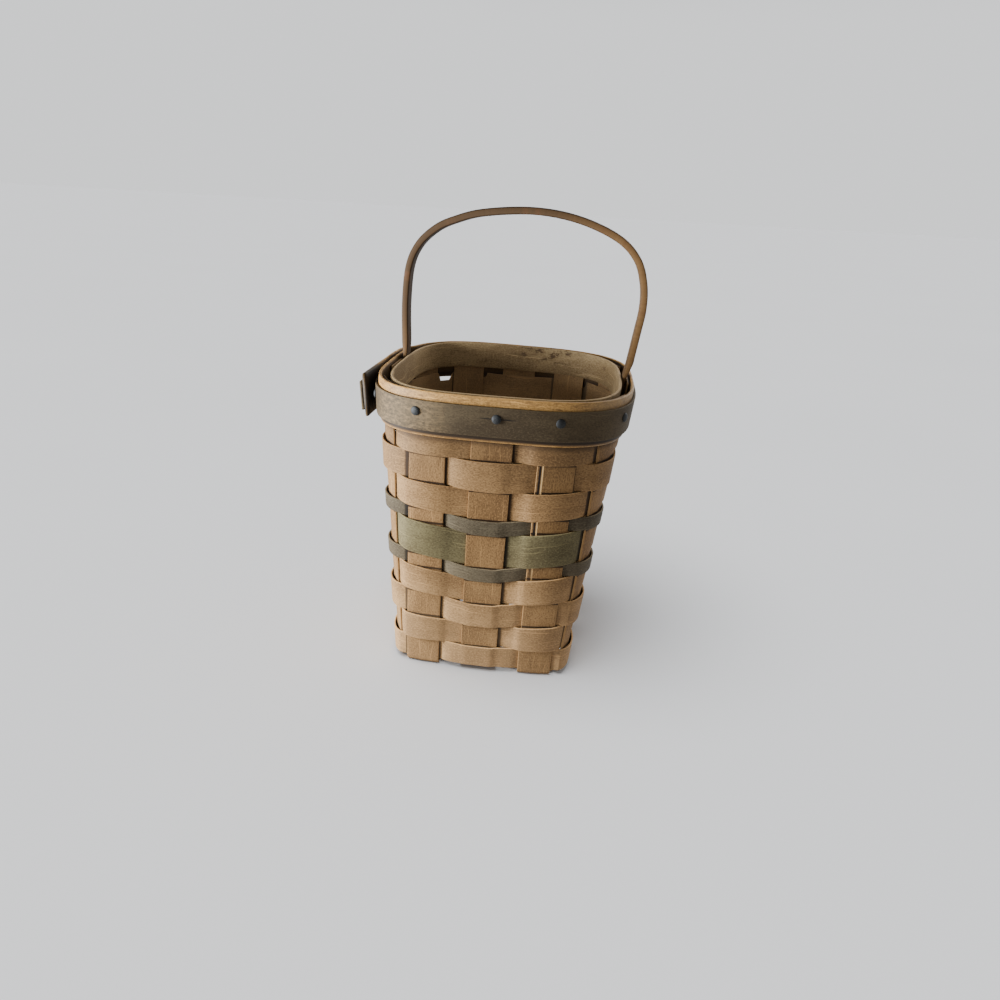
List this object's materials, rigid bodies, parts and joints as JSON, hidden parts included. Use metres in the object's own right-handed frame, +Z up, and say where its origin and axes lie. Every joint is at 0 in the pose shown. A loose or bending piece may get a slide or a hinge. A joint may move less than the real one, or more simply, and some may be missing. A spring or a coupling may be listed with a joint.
{
  "type": "candle basket",
  "caption": "Small tapered square splint basket with a tacked double rim and a fixed bentwood hoop handle, for holding a jar candle or small things.",
  "frame": {"origin": "middle of the base, on its underside where the basket rests", "axes": "+Z up, -Y out of the pictured front, +X to the right seen from the front"},
  "size_m": [0.1357, 0.1314, 0.2346],
  "materials": {
    "stake_splint": "matte stained splint, warm brown, fine grain along the stake",
    "tan_splint": "matte stained splint, tan, grain along the row",
    "olive_splint": "matte stained splint, olive grey",
    "dark_splint": "matte stained splint, dark grey green",
    "inner_rim_wood": "matte light brown rim wood with dark stains",
    "honey_rim_wood": "satin honey rim wood",
    "trim_splint": "matte stained splint, dark grey brown",
    "handle_wood": "satin brown bent wood",
    "tack_steel": "blued steel"
  },
  "bodies": {
    "root": {"stake_front_to_back_left": "stake_splint", "stake_front_to_back_centre": "stake_splint", "stake_front_to_back_right": "stake_splint", "stake_side_to_side_front": "stake_splint", "stake_side_to_side_centre": "stake_splint", "stake_side_to_side_back": "stake_splint", "weaver_row_01": "tan_splint", "weaver_row_02": "tan_splint", "weaver_row_03": "tan_splint", "weaver_row_04": "tan_splint", "weaver_row_05": "dark_splint", "weaver_row_06": "olive_splint", "weaver_row_07": "dark_splint", "weaver_row_08": "tan_splint", "weaver_row_09": "tan_splint", "weaver_row_10": "tan_splint", "rim_band_inner": "inner_rim_wood", "rim_band_outer": "honey_rim_wood", "rim_trim_strip": "trim_splint", "handle_hoop": "handle_wood", "tack_front_1": "tack_steel", "tack_front_2": "tack_steel", "tack_front_3": "tack_steel", "tack_right_1": "tack_steel", "tack_right_2": "tack_steel", "tack_right_3": "tack_steel", "tack_back_1": "tack_steel", "tack_back_2": "tack_steel", "tack_back_3": "tack_steel", "tack_left_1": "tack_steel", "tack_left_2": "tack_steel", "tack_left_3": "tack_steel"}
  },
  "joints": []
}
